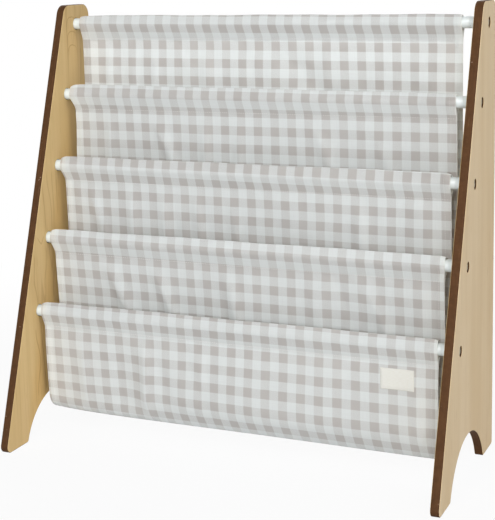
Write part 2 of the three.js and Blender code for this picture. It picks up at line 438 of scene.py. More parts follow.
def board_outline(set_back):
    """Side view of a board: a sloping front edge from the rounded toe to the top, an upright
    back edge, and two feet either side of an arch that is a part of a circle."""
    low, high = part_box("left_board")
    depth, height = high.y - low.y, high.z - low.z
    toe, top_depth = 9 * MM, 68 * MM
    top_front, top_back, heel, arch_corner = 17 * MM, 16 * MM, 4 * MM, 3 * MM
    front_foot, back_foot, rise = 52 * MM, 51 * MM, 60 * MM
    run, climb = depth - top_depth - toe, height - toe
    angle = math.atan2(run, climb) + math.asin(toe / math.hypot(run, climb))
    slope = math.tan(angle)
    front = depth - top_depth - height * slope + set_back / math.cos(angle)
    half = (depth - back_foot - front_foot) / 2
    radius = (half ** 2 + rise ** 2) / (2 * rise)
    sweep = math.asin(half / radius)
    turn = np.linspace(sweep, -sweep, 49)
    arch_y = front_foot + half + radius * np.sin(turn)
    arch_z = set_back + rise - radius + radius * np.cos(turn)
    arch = [(y, z, 0) for y, z in zip(arch_y, arch_z)]
    for end in (0, -1):
        arch[end] = (arch[end][0], set_back, arch_corner)
    top = height - set_back
    corners = [
        (front + set_back * slope, set_back, toe - set_back),
        (front + top * slope, top, top_front - set_back),
        (depth - set_back, top, top_back - set_back),
        (depth - set_back, set_back, heel - set_back),
        *arch,
    ]
    return rounded_outline(corners, 12) + np.array([low.y, low.z])


def slab(outline, near, far, arrises, bores, side, spread=1.0):
    """A flat piece between two places along X. Its edge is a profile carried round the outline:
    a strip of the face, a quarter circle that may be spread over the face, the straight edge,
    and the same again. Bores are turned profiles round the rods' axes, and join the faces."""
    shape = Shape()
    ahead = unit(np.roll(outline, -1, 0) - np.roll(outline, 1, 0))
    inward = np.stack([ahead[:, 1], -ahead[:, 0]], -1)
    if np.sum(inward * (outline.mean(0) - outline)) < 0:
        inward = -inward
    profile = []
    for place_x, direction, arris in ((near, 1, arrises[0]), (far, -1, arrises[1])):
        wide = spread * arris
        leg = [(place_x, 1.3 * wide)]
        leg += [(place_x + direction * arris * (1 - math.cos(a)), wide * (1 - math.sin(a)))
                for a in np.linspace(0, math.pi / 2, 4)]
        profile += leg[::direction]
    rows = [np.column_stack([np.full(len(outline), side * along), outline + inward * inset])
            for along, inset in profile]
    ends = [shape.grid(np.stack(rows))]
    ends += [shape.grid(turned(bore, axis, side, 48)) for axis, bore in bores]
    shape.flats += zip(*ends)
    return shape


class SHELF_OT_boards(bpy.types.Operator):
    """Make both side boards: a fibreboard core with a maple veneer on each face"""
    bl_idname = "shelf.boards"
    bl_label = "Side boards"

    def execute(self, context):
        settings = context.scene.shelf_boards
        edge = fibreboard_edge(settings)
        maple = {"inner": maple_veneer("maple_inner", settings.inner_veneer, True),
                 "outer": maple_veneer("maple_outer", settings.outer_veneer, False)}
        first, last = near_and_far("left_inner_veneer")
        veneer_thickness = last - first
        seat_radius, seat_depth = 8.7 * MM, 1.0 * MM
        bolt_radius, sink_radius, sink_depth = 3.4 * MM, 7.2 * MM, 4.9 * MM
        sanded, eased, hidden, thin = 0.6 * MM, 0.45 * MM, 0.02 * MM, 0.3 * MM
        axes = [rod_axis(number) for number in ROD_NUMBERS]
        for name, side in SIDES:
            inner, outer = board_span(name)
            near, far = inner + veneer_thickness, outer - veneer_thickness
            core_bore = [
                (seat_radius, near), (seat_radius, inner + seat_depth),
                (bolt_radius, inner + seat_depth), (bolt_radius, outer - sink_depth),
                (sink_radius, outer - sink_depth), (sink_radius, far),
            ]
            core = slab(board_outline(0.0), near, far, (settings.arris,) * 2,
                        [(axis, core_bore) for axis in axes], side)
            core.build(f"{name}_board_core", edge, "board_edge", f"{name}_board")
            for face, start, radius, arrises in (("inner", inner, seat_radius, (eased, hidden)),
                                                 ("outer", far, sink_radius, (hidden, eased))):
                end = start + veneer_thickness
                bore = [(radius + thin, start), (radius, start + thin), (radius, end)]
                if face == "outer":
                    bore = [(radius, start), (radius, end - thin), (radius + thin, end)]
                sheet = slab(board_outline(sanded), start, end, arrises,
                             [(axis, bore) for axis in axes], side, spread=2.4)
                sheet.build(f"{name}_{face}_maple", maple[face], "maple_veneer",
                            f"{name}_{face}_veneer")
        return {"FINISHED"}


# Rods, plugs and bolts

class SHELF_OT_rods(bpy.types.Operator):
    """Make the five powder-coated tubes"""
    bl_idname = "shelf.rods"
    bl_label = "Rods"

    def execute(self, context):
        settings = context.scene.shelf_rods
        paint = powder_coat(settings)
        wall, ease = 1.2 * MM, 0.35 * MM
        for number in ROD_NUMBERS:
            node = f"rod_{number}"
            radius, half = radius_of(node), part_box(node)[1].x
            outside = [(radius - ease, -half), (radius - ease / 3, -half + ease / 3),
                       (radius, -half + ease)]
            middle = [(radius, place_x) for place_x in np.linspace(-0.9, 0.9, 7) * half]
            profile = [(radius - wall, -half), *outside, *middle,
                       *[(r, -x) for r, x in outside[::-1]], (radius - wall, half)]
            shape = Shape()
            shape.grid(turned(profile, rod_axis(number), 1, settings.segments), close_rows=True)
            shape.build(f"tube_{number}", paint, "rod_paint", node)
        return {"FINISHED"}


class SHELF_OT_plugs(bpy.types.Operator):
    """Make the ten end plugs, each with a collar, a ribbed body inside the tube and a bore"""
    bl_idname = "shelf.plugs"
    bl_label = "End plugs"

    def execute(self, context):
        settings = context.scene.shelf_rods
        plastic = plug_plastic(settings)
        body, bore, ease, groove, rib_pitch = 6.5 * MM, 3.25 * MM, 0.35 * MM, 0.4 * MM, 3 * MM
        for name, side in SIDES:
            for number in ROD_NUMBERS:
                node = f"{name}_plug_{number}"
                radius, (near, far) = radius_of(node), near_and_far(node)
                joint = near + 14 * MM
                ribs = []
                for place_x in np.arange(near + 2.5 * MM, joint - 2 * MM, rib_pitch):
                    ribs += [(body - groove, place_x), (body, place_x + 0.5 * MM),
                             (body, place_x + 1.5 * MM), (body - groove, place_x + 2 * MM)]
                profile = [
                    (0, near), (body - 1.2 * MM, near), (body - groove, near + 1 * MM),
                    *ribs, (body - groove, joint),
                    (radius - ease, joint), (radius - ease / 3, joint + ease / 3),
                    (radius, joint + ease), (radius, far),
                    (bore, far), (bore, near + 3 * MM), (0, near + 1.5 * MM),
                ]
                shape = Shape()
                shape.grid(turned(profile, rod_axis(number), side, settings.segments))
                shape.build(f"{name}_end_plug_{number}", plastic, "rod_plug", node)
        return {"FINISHED"}


def keyed_head(low_x, high_x, axis, side, segments):
    """Bolt as a grid of rings: each ring's radius is a mix of a circle and a hexagon, so the
    domed head runs into a six-sided socket. Rows go from the shank's tip to the socket's floor."""
    shank, head, flats, depth, crown = 3.0 * MM, 6.0 * MM, 4.0 * MM, 2.2 * MM, 1.1 * MM
    thread_pitch, thread_depth = 0.5 * MM, 0.35 * MM
    head_base = high_x - 3.3 * MM
    corner = flats / 2 / math.cos(math.pi / 6)
    rim = corner + 0.45 * MM
    rows = [(0, low_x, 0), (shank - 0.6 * MM, low_x, 0), (shank, low_x + 0.6 * MM, 0)]
    thread = np.arange(low_x + 1.0 * MM, head_base - 3 * MM, thread_pitch)
    rows += [(shank - thread_depth * (i % 2), place_x, 0) for i, place_x in enumerate(thread)]
    rows += [(shank, head_base - 2 * MM, 0), (shank, head_base, 0),
             (head - 0.3 * MM, head_base, 0), (head, head_base + 0.3 * MM, 0)]
    rows += [(rim + (head - rim) * math.cos(a), high_x - crown + crown * math.sin(a), 0)
             for a in np.linspace(0, math.pi / 2, 9)]
    rows += [(corner + 0.2 * MM, high_x - 0.05 * MM, 0.5), (corner, high_x - 0.35 * MM, 1.0),
             (corner, high_x - depth, 1.0), (corner * 0.5, high_x - depth - 0.25 * MM, 0.4),
             (0, high_x - depth - 0.4 * MM, 0)]
    radius, along, six = np.array(rows).T
    turn = np.linspace(0, FULL_TURN, segments, endpoint=False)
    wedge = np.mod(turn, math.pi / 3) - math.pi / 6
    hexagon = math.cos(math.pi / 6) / np.cos(wedge)
    return circled(radius[:, None] * (1 - six[:, None] + six[:, None] * hexagon), along, turn,
                   axis, side)


class SHELF_OT_bolts(bpy.types.Operator):
    """Make the ten bolts, each with a domed head and a six-sided socket"""
    bl_idname = "shelf.bolts"
    bl_label = "Bolts"

    def execute(self, context):
        zinc = zinc_plate(context.scene.shelf_rods)
        for name, side in SIDES:
            for number in ROD_NUMBERS:
                node = f"{name}_bolt_{number}"
                shape = Shape()
                shape.grid(keyed_head(*near_and_far(node), rod_axis(number), side, 48))
                shape.build(f"{name}_button_bolt_{number}", zinc, "bolt_zinc", node, sharp=40.0)
        return {"FINISHED"}


# Slings

# The seam lies this far under its rod's axis, and the tail behind it ends a little lower
SEAM_DROP, TAIL = 22 * MM, 3 * MM
# Ripples leave out this much cloth at a free end, and waves leave out all that is behind a rod
FREE_END, PAST_TAIL = 12 * MM, 30 * MM
# The loop's radius, and the fold over it, as (y, z) from the rod's axis
LOOP_RADIUS, CREASE = 9.0 * MM, (-5.5 * MM, 13.8 * MM)
# A pocket's foot lies this far under the axis of its lower rod
POCKET_DROP = 151.4 * MM
# How far behind the axis the layers at a seam lie: the wall in front, the tail, and the front
# wall of the sling above
SEAM_FRONT, SEAM_TAIL, SEAM_BACK = -0.55 * MM, 0.05 * MM, 0.65 * MM
# How far the walls lean forward as they go up, and the lowest front wall, which leans back
LEAN, LOWEST_LEAN = 0.035, -0.05

# Where each sling lies: its left and right edge, the place across of the middle of a grey
# column, the height of the middle of a grey row on the back wall, and the slope of the rows
SLING_EDGES = {1: (-292.5, 280.5), 2: (-294.0, 282.5), 3: (-294.5, 284.5), 4: (-295.5, 287.0)}
GREY_COLUMN = {1: -261.6, 2: -275.0, 3: -272.6, 4: -275.8}
GREY_ROW = {1: 553.1, 2: 463.1, 3: 367.7, 4: 257.1}
ROW_SLOPE = {1: -0.0079, 2: -0.0036, 3: -0.0076, 4: -0.0059}

# The lowest front wall: the height of the middle of a grey row in mm, the slope of the rows,
# and how far the columns have moved across by then, in mm
FRONT_ROW, FRONT_SLOPE, FRONT_DRIFT = 149.8, 0.0003, 2.3

# How far the pressed crease of each sleeve stands above its common height, at its left and
# right end, in mm
CREASE_RISE = {1: (-1.2, -2.6), 2: (1.6, -2.0), 3: (0.8, 0.6), 4: (0.3, 0.3), 5: (1.2, 1.0)}

# How far the hems of the wall under each rod are drawn in, in mm: the left one just under the
# seam and low down, and the right one at the same heights
DRAWN_IN = {1: (0.0, 0.0, 0.0, 0.0), 2: (4.4, 0.6, 0.3, 0.3), 3: (3.2, 1.9, 0.5, 0.5),
            4: (2.3, 3.0, 2.2, 2.2), 5: (0.6, 1.6, 0.5, -2.0)}

# How far the columns of the wall under each rod have moved across: a distance below the rod, and
# the move at seven places from 0.27 m left of the middle to 0.27 m right of it, in mm
WANDER_REACH = 0.27
WANDER = {
    1: ((35, 1.1, 1.4, 1.5, 2.3, 2.3, 1.9, 1.4),
        (55, 0.4, 0.2, 0.7, 1.0, 2.2, 1.8, 0.5),
        (75, -0.6, -1.0, 0.4, 0.7, 2.3, 1.5, 0.8)),
    2: ((34, -1.4, -0.1, 0.6, 1.1, 1.2, 0.8, 1.5),
        (54, -1.0, -0.2, 1.0, 0.7, 1.6, 1.1, 0.8),
        (76, -2.0, -0.4, 0.6, 0.2, 1.7, 0.7, 1.2)),
    3: ((34, -2.1, -1.3, -0.4, 1.1, 1.5, 1.3, 1.1),
        (54, -2.0, -0.9, -1.1, 0.9, 1.8, 1.1, 1.0),
        (75, -1.3, -0.4, -1.6, 0.3, 0.9, 1.0, 0.2)),
    4: ((34, -2.3, -1.0, -1.1, -0.6, -0.1, -0.1, 0.8),
        (54, -1.4, 0.5, -0.8, -0.4, -0.2, -0.1, 1.3),
        (74, -0.3, 1.6, -0.4, -0.0, -0.1, 0.2, 1.4)),
    5: ((36, -2.4, -1.0, -2.2, -2.2, -1.2, -0.2, 0.4),
        (82, 0.1, -0.5, -1.2, -1.8, -0.1, 1.7, 2.8),
        (126, 0.9, 2.3, -0.5, 0.0, 1.6, 3.4, 5.4)),
}

# Upright ridges of the wall under each rod: place across at the seam in mm, slant, height and
# width in mm
RIDGES = {
    1: ((-253, -0.04, 2.4, 7), (-212, -0.07, 1.7, 7), (-176, -0.06, 1.7, 7), (-99, 0.01, 2.7, 8),
        (-10, 0.97, -4.0, 26)),
    2: ((-238, 0.0, 3.7, 7), (-168, 0.4, 5.1, 9), (-86, 0.01, 3.4, 7), (-35, 0.01, 2.7, 7),
        (69, 0.4, 3.7, 9), (154, 0.4, 2.4, 9)),
    3: ((-256, 0.28, 4.4, 8), (-188, 0.01, 4.8, 8), (-136, 0.01, 4.1, 8), (-86, 0.07, 3.4, 8),
        (-34, 0.12, 2.7, 8), (148, 0.1, 3.4, 9)),
    4: ((-216, 0.42, 5.8, 10), (-143, 0.41, 5.8, 10), (-27, 0.18, 4.8, 9), (95, 0.13, 2.0, 9),
        (169, 0.4, 4.1, 10)),
    5: ((-237, -0.01, 2.7, 8), (-137, 0.0, 5.1, 7), (-51, 0.01, 1.7, 8), (247, 0.09, 2.7, 8)),
}


def loop_over_rod(axis):
    """Cloth round a rod in the side view: up from the tail behind, straight to where it
    touches the circle, and round it. Over the rod it leaves the circle on one tangent, folds
    at the pressed crease, and comes back on the other. Then it goes down to the seam."""
    start, front = np.array([[SEAM_TAIL, -SEAM_DROP], [SEAM_FRONT, -SEAM_DROP]])

    def touches(point):
        """Angle of a point, and half the angle between both tangents through it."""
        return math.atan2(point[1], point[0]), math.acos(LOOP_RADIUS / np.hypot(*point))

    (low, low_half), (high, high_half), (towards, spread) = map(touches, (start, front, CREASE))
    arcs = [arc(np.linspace(first, last, 30), LOOP_RADIUS)
            for first, last in ((low + low_half, towards - spread),
                                (towards + spread, high % FULL_TURN - high_half))]
    tail = start - [0, TAIL]
    return np.concatenate([[tail], [start], arcs[0], [CREASE], arcs[1], [front]]) + axis


def sling_line(upper, lower, lowest):
    """Side view of one sling: the loop over its upper rod, the back wall, half an ellipse at
    the foot, and the front wall up to the lower rod. The lowest one also loops over that rod."""
    fold = (46 if lowest else 34) * MM
    offset, front_lean = (SEAM_FRONT, LOWEST_LEAN) if lowest else (SEAM_BACK, LEAN)
    fold_top = lower[1] - POCKET_DROP + fold
    back_y = upper[0] + SEAM_FRONT + LEAN * (upper[1] - SEAM_DROP - fold_top)
    front_top = np.array([lower[0] + offset, lower[1] - SEAM_DROP])
    front_y = front_top[0] + front_lean * (front_top[1] - fold_top)
    turn = np.linspace(0, math.pi, 40)
    half = (back_y - front_y) / 2
    ellipse = np.stack([front_y + half + half * np.cos(turn), fold_top - fold * np.sin(turn)], -1)
    parts = [loop_over_rod(upper), ellipse, [front_top]]
    if lowest:
        parts.append(loop_over_rod(lower)[::-1][1:])
    return np.concatenate(parts)


def spaced(line, gaps):
    """The line with its corners softened by a bell-shaped average, resampled so that
    neighbouring points are a gap apart that varies along it, and the distances along it."""
    fine, reach, softness = 0.25 * MM, 12, 5.0
    run = run_along(line)
    dense = read_path(np.arange(0, run[-1], fine), run, line)
    kernel = np.exp(-0.5 * (np.arange(-reach, reach + 1) / softness) ** 2)
    kernel /= kernel.sum()
    padded = np.concatenate([2 * dense[0] - dense[reach:0:-1], dense,
                             2 * dense[-1] - dense[-2:-reach - 2:-1]])
    soft = np.stack([np.convolve(column, kernel, "valid") for column in padded.T], -1)
    density = 1 / gaps(soft)
    count = np.concatenate([[0], np.cumsum((density[1:] + density[:-1]) / 2 * fine)])
    wanted = np.linspace(0, count[-1], int(round(count[-1])) + 1)
    steps = np.arange(len(count))
    line = read_path(np.interp(wanted, count, steps), steps, soft)
    return line, run_along(line)


def hemmed_width(left, right, hem):
    """Columns across a sling, close together at the rounded edge and where the hem ends, and
    how thick the cloth is there: twice as thick in the hem, rounded off at the edge."""
    side = np.array([0.0, 0.15, 0.5, 0.5 * hem / MM, hem / MM - 0.8, hem / MM]) * MM
    thick = np.array([0.35, 0.8, 1.0, 1.0, 1.0, 0.5])
    middle = np.linspace(left + hem, right - hem, 146)[1:-1]
    x = np.concatenate([left + side, middle, right - side[::-1]])
    return x, np.concatenate([thick, np.full(len(middle), 0.5), thick[::-1]])


def hang_waves(x, drop, number):
    """How far a wall under a rod swells towards the front, by the place across and the drop
    below the seam: three slow waves across, which grow from nothing at the seam."""
    phase = 1.7 * number
    wave = (0.9 * np.sin(x / 0.047 + phase) + 0.7 * np.sin(x / 0.083 + 2.1 * phase)
            + 0.5 * np.sin(x / 0.029 - phase + drop / 0.06))
    return 1.3 * MM * wave * smooth_step(drop, 0.004, 0.07)


def wander(x, below, number):
    """How far a wall's columns have moved across, read from the table with straight lines
    between its places and between its distances below the rod."""
    table = np.array(WANDER[number]) * MM
    places = np.linspace(-WANDER_REACH, WANDER_REACH, 7)
    high, middle, low = (np.interp(x, places, row[1:]) for row in table)
    first, second = (np.clip((below - start) / (end - start), 0, 1)
                     for start, end in zip(table[:-1, 0], table[1:, 0]))
    return high * (1 - first) + middle * (first - second) + low * second


def wrinkles(x, drop, number):
    """How far a wall is creased towards the front: the ridges of the table, which grow below
    the seam, and small soft folds of seeded place, slant, width, height, length and bend."""
    draw = np.random.default_rng(40 + number)
    lowest, highest = (-0.28, -0.35, 0.006, 0.4, 0.03, -3.0), (0.28, 0.35, 0.014, 1.6, 0.13, 3.0)
    total = 0.0
    for place_x, slant, width, height, end, bend in draw.uniform(lowest, highest, (24, 6)):
        line = place_x + slant * drop + 4 * MM * np.sin(drop / 0.028 + bend)
        ridge = np.exp(-((x - line) / width) ** 2) * smooth_step(end + 0.03 - drop, 0.0, 0.05)
        total = total + height * (1 if bend > -1 else -1) * ridge
    deep = (0.5, 0.5, 0.7, 0.8, 0.8)[number - 1]
    total = deep * MM * total * smooth_step(drop, 0.0, 0.018)
    for place_x, slant, height, width in RIDGES[number]:
        off = (x - slant * drop) / MM - place_x - 0.7 * width
        total = total + height * MM * np.exp(-(off / width) ** 2) * smooth_step(drop, 0.0, 0.045)
    return total


def puckers(x, drop, number):
    """How far the thread draws the cloth in and out beside a seam: short ripples across
    whose height fades with the distance from the seam, more slowly below than above it."""
    phase = 2.3 * number
    ripple = (0.5 * np.sin(x / 0.0021 + phase + 1.5 * np.sin(x / 0.019))
              + 0.5 * np.sin(x / 0.0034 - phase) + 0.6 * np.sin(x / 0.0075 + 2 * phase))
    fade = np.exp(-np.abs(drop) / np.where(drop > 0, 0.011, 0.007))
    return 0.34 * MM * ripple * fade * (1 - np.exp(-(drop / 0.0022) ** 2))


def pocket_belly(x, z):
    """How far the lowest front wall swells towards the front: a broad belly in the middle
    that falls back at both sides, and one shallow upright dent left of the middle."""
    drop = rod_axis(5)[1] - SEAM_DROP - z
    across = np.array([-0.300, -0.230, -0.120, -0.030, 0.080, 0.190, 0.290])
    depth = np.array([-5.0, -4.5, 3.0, 6.5, 8.5, 7.0, 2.5]) * MM
    fine = np.linspace(-0.31, 0.31, 63)
    curve = np.convolve(np.pad(np.interp(fine, across, depth), 4, "edge"), np.ones(9) / 9, "valid")
    belly = np.interp(x, fine, curve) * smooth_step(drop, 0.0, 0.10)
    dent = 6 * MM * np.exp(-((x + 0.165) / 0.026) ** 2) * smooth_step(drop, 0.0, 0.07)
    return (belly - dent) * smooth_step(z, 0.028, 0.062)


def thicken(sheet, thickness, group=""):
    """Gives a sheet its thickness, half on either side, times the shares in a vertex group."""
    solid = sheet.modifiers.new("Cloth thickness", "SOLIDIFY")
    solid.thickness, solid.offset, solid.vertex_group = thickness, 0.0, group


class Sling:
    """One sling as a grid of points. Rows follow its side view, and columns go across it. Both
    hems are twice as thick as the cloth. Waves move the walls along Y. The pattern's
    coordinates are the distances along the cloth both ways."""

    def __init__(self, number, settings):
        self.number, self.settings = number, settings
        self.upper, self.lower = rod_axis(number), rod_axis(number + 1)
        self.lowest = number == ROD_NUMBERS[-2]
        self.bottom = self.lower[1] - POCKET_DROP
        line = sling_line(self.upper, self.lower, self.lowest)
        self.side_view, self.along = spaced(line, self.gaps)
        self.foot = int(np.argmin(self.side_view[:, 1]))
        self.left, self.right = (edge * MM for edge in SLING_EDGES[number])
        self.across, self.thick = hemmed_width(self.left, self.right, settings.hem)
        self.points = self.place_points()
        down, over = np.gradient(self.points, axis=0), np.gradient(self.points, axis=1)
        self.inside = unit(np.cross(down, over))

    def gaps(self, points):
        """Gap between rows: small at the rods, larger at the foot, largest on the walls."""
        rod_reach, at_rod, at_foot, on_wall = 32 * MM, 1.15 * MM, 2.2 * MM, 3.0 * MM
        near_rod = np.hypot(*(points - self.upper).T) < rod_reach
        near_rod |= np.hypot(*(points - self.lower).T) < rod_reach
        near_foot = points[:, 1] < self.bottom + 30 * MM
        return np.where(near_rod, at_rod, np.where(near_foot, at_foot, on_wall))

    def place_points(self):
        line, number = self.side_view, self.number
        ahead = unit(np.gradient(line, axis=0))
        along, foot_at = self.along[:, None], self.along[self.foot]
        x = np.broadcast_to(self.across, (len(line), len(self.across)))
        before_foot = np.arange(len(line))[:, None] < self.foot
        drops = [(axis[1] - SEAM_DROP - line[:, 1])[:, None] for axis in (self.upper, self.lower)]
        on_back = before_foot & (drops[0] > 0) & (along > PAST_TAIL)
        on_front = ~before_foot & (drops[1] > 0)

        # Ripples beside the seams, at right angles to the side view's line
        ripple = puckers(x, drops[0], number) * (before_foot & (along > FREE_END))
        if self.lowest:
            inside = ~before_foot & (along < self.along[-1] - FREE_END)
            ripple = ripple - puckers(x, drops[1], number + 1) * inside
        y = line[:, :1] + ahead[:, 1:] * ripple
        z = line[:, 1:] - ahead[:, :1] * ripple

        # Waves, belly and folds of the walls
        drops = [axis[1] - SEAM_DROP - z for axis in (self.upper, self.lower)]
        back = hang_waves(x, drops[0], number) + wrinkles(x, drops[0], number)
        front = hang_waves(x, drops[1], number + 1)
        if self.lowest:
            front = front * 0.5 + pocket_belly(x, z)
        front = front + wrinkles(x, drops[1], number + 1)
        share = smooth_step(z, self.bottom, self.bottom + 40 * MM)
        y = y - (back * on_back + front * on_front) * share

        # Creases of the sleeves, the lift of the foot at the left, and the moves across
        for axis, rod in ((self.upper, number), (self.lower, number + 1))[: 1 + self.lowest]:
            near_rod = np.hypot(*(line - axis).T)[:, None] < 20 * MM
            z = z + self.crease_rise(x, z - axis[1], rod) * near_rod
            y, z = self.fallen_ends(x, y, z, axis, near_rod)
        lift = 5 * MM * np.exp(-(x - self.left) / 0.040) - 1.2 * MM * smooth_step(x, 0.0, 0.28)
        z = z + lift * (1 - smooth_step(z, self.bottom, self.bottom + 60 * MM))
        turning = smooth_step(along, foot_at - 0.07, foot_at)
        x = (x + self.drawn_in(x, self.upper[1] - z, number) * (1 - turning)
             + self.drawn_in(x, self.lower[1] - z, number + 1) * turning)
        return np.stack([x, y, z], -1)

    def fallen_ends(self, x, y, z, axis, near_rod):
        """The crease has fallen onto the rod at both ends of a sleeve: above the rod's middle,
        the part of each point's distance from the axis beyond the loop's radius shrinks."""
        near_end = (0.62 * np.exp(-(x - self.left) / 0.0055)
                    + 0.38 * np.exp(-(self.right - x) / 0.004))
        share = near_end * smooth_step(z - axis[1], 0.0, 6 * MM) * near_rod
        reach = np.hypot(y - axis[0], z - axis[1])
        scale = 1 - share * np.maximum(reach - LOOP_RADIUS, 0) / np.maximum(reach, 1 * MM)
        return axis[0] + (y - axis[0]) * scale, axis[1] + (z - axis[1]) * scale

    def drawn_in(self, x, below, number):
        """How far a wall's side hems are drawn in and its columns have moved across, by the
        distance below the rod."""
        fade, rim = 0.035, 0.05
        top_left, low_left, top_right, low_right = np.array(DRAWN_IN[number]) * MM
        lower = smooth_step(below, 0.03, 0.11)
        left = (top_left + (low_left - top_left) * lower) * np.exp(-(x - self.left) / fade)
        right = (top_right + (low_right - top_right) * lower) * np.exp(-(self.right - x) / fade)
        inner = smooth_step(x, self.left, self.left + rim) * smooth_step(self.right - x, 0.0, rim)
        moved = left - right + wander(x, below, number) * inner
        return moved * smooth_step(below, 0.004, 0.020)

    def crease_rise(self, x, above, number):
        """How far a sleeve's crease stands above its common height: a straight line across
        and two slow waves, all of it at the crease and none of it beside the rod."""
        rise = np.interp(x, [self.left, self.right], np.array(CREASE_RISE[number]) * MM)
        rise += (0.30 * np.sin(x / 0.033 + number) + 0.18 * np.sin(x / 0.0125 + 2 * number)) * MM
        return rise * smooth_step(above, 4 * MM, 12.5 * MM)

    def flat_coordinates(self):
        """The pattern's place across and along, from the middle of a grey square, with the
        slope of the rows. The lowest sling turns from its back wall's place to its front's."""
        on_wall = (np.arange(len(self.along)) < self.foot) & (self.along > PAST_TAIL)
        at_row = np.interp(-GREY_ROW[self.number] * MM, -self.side_view[on_wall, 1],
                           self.along[on_wall])
        u, v = self.across - GREY_COLUMN[self.number] * MM, self.along - at_row
        slope = ROW_SLOPE[self.number]
        if self.lowest:
            shift, turned_over = self.front_rows(v)
            v = v + shift
            slope = (slope * (1 - turned_over) - FRONT_SLOPE * turned_over)[:, None]
            u = u - FRONT_DRIFT * MM * turned_over[:, None]
        uv = np.stack(np.broadcast_arrays(u, v[:, None]), -1).copy()
        uv[..., 1] += slope * self.points[..., 0]
        return uv

    def front_rows(self, v):
        """What is added to the pattern's place along the cloth so that a grey row's middle
        falls at its height on the front wall, and the share of it that has come in: nothing
        far before the foot, and all of it at the foot."""
        heights, period = self.side_view[:, 1], 2 * self.settings.check_height
        on_wall = (np.arange(len(v)) > self.foot) & (heights < self.lower[1] - SEAM_DROP)
        at_row = np.interp(FRONT_ROW * MM, heights[on_wall], v[on_wall])
        foot_at = self.along[self.foot]
        share = smooth_step(self.along, foot_at - 0.17, foot_at - 0.01)
        return (round(at_row / period) * period - at_row) * share, share

    def sheet(self, cloth):
        number, (rows, columns) = self.number, self.points.shape[:2]
        name = f"sling_cloth_{number}"
        mesh = new_mesh(name, self.points, grid_faces(rows, columns), self.flat_coordinates())
        nodes = [f"sleeve_{number}", f"sling_{number}"] + ["sleeve_5"] * self.lowest
        sheet = place(name, mesh, cloth, nodes)
        vertices = np.arange(rows * columns)
        doubled = sheet.vertex_groups.new(name="share_of_hem_thickness")
        for share in np.unique(self.thick):
            chosen = vertices[self.thick[vertices % columns] == share]
            doubled.add(chosen.tolist(), float(share), "REPLACE")
        thicken(sheet, 2 * self.settings.thickness, doubled.name)
        return sheet

    def row_at(self, height, part):
        """Row number, with its fraction, where the side view passes a height on one part:
        tail, back (front of the upper rod and the wall under it), front, or front_tail."""
        heights = self.side_view[:, 1]
        top = int(np.argmax(heights[: self.foot]))
        last_top = self.foot + int(np.argmax(heights[self.foot:]))
        first, last = {"tail": (0, top), "back": (top, self.foot), "front": (self.foot, last_top),
                       "front_tail": (last_top, len(heights) - 1)}[part]
        rows = np.arange(first, last + 1)
        order = np.argsort(heights[rows])
        return np.interp(height, heights[rows][order], rows[order])

    def column_at(self, x):
        return np.interp(x, self.across, np.arange(len(self.across)))

    def spot(self, row, column, lift):
        """Points on the cloth between its grid's points, lifted towards the pocket's inside,
        and the directions of that lift."""
        row, column = np.broadcast_arrays(np.asarray(row, float), np.asarray(column, float))
        row = np.clip(row, 0, self.points.shape[0] - 1.001)
        column = np.clip(column, 0, self.points.shape[1] - 1.001)
        r, c = row.astype(int), column.astype(int)
        dr, dc = (row - r)[..., None], (column - c)[..., None]
        both = np.concatenate([self.points, self.inside], -1)
        found = ((both[r, c] * (1 - dc) + both[r, c + 1] * dc) * (1 - dr)
                 + (both[r + 1, c] * (1 - dc) + both[r + 1, c + 1] * dc) * dr)
        normal = unit(found[..., 3:])
        return found[..., :3] + normal * lift, normal


# Stitches and patch

def stitch_row(start, end, outward, radius):
    """Points of many stitches at once. Each is a bead from one needle hole to the next: its
    middle line rises out of the cloth as a half wave, and its radius is nothing at both ends."""
    along = np.array([0.0, 0.18, 0.5, 0.82, 1.0])
    thick = np.array([0.0, 0.85, 1.0, 0.85, 0.0]) * radius
    way = end - start
    aside = unit(np.cross(way, outward))
    turn = np.linspace(0, FULL_TURN, 5, endpoint=False)
    centre = (start[:, None] + way[:, None] * along[:, None]
              + outward[:, None] * (radius * np.sin(math.pi * along))[:, None])
    ring = (aside[:, None, None] * np.cos(turn)[:, None]
            + outward[:, None, None] * np.sin(turn)[:, None])
    return centre[:, :, None] + ring * thick[:, None, None]


def stitch_line(sling, rows, columns, face, radius=0.17 * MM, layers=0.5):
    """Stitches along a line of places on a sling's grid, on its inside (face 1) or outside
    (face -1), one pitch apart measured along the cloth."""
    pitch, long = 3.2 * MM, 2.5 * MM
    path, normal = sling.spot(rows, columns, face * sling.settings.thickness * layers)
    run = run_along(path)
    where = np.arange(len(run))
    first = np.arange(pitch / 2, run[-1] - long, pitch)
    start, end = (read_path(np.interp(at, run, where), where, path)
                  for at in (first, first + long))
    outward = read_path(np.interp(first, run, where), where, normal) * face
    return stitch_row(start, end, outward, radius)


def sew(name, lines, thread):
    """One mesh of all the stitches in some lines."""
    beads = np.concatenate(lines)
    count, rings, sides = beads.shape[:3]
    one = grid_faces(rings, sides, close_columns=True)
    faces = one[None] + (np.arange(count) * rings * sides)[:, None, None]
    mesh = new_mesh(name, beads, faces.reshape(-1, 4))
    close_mesh(mesh)
    return place(name, mesh, thread)


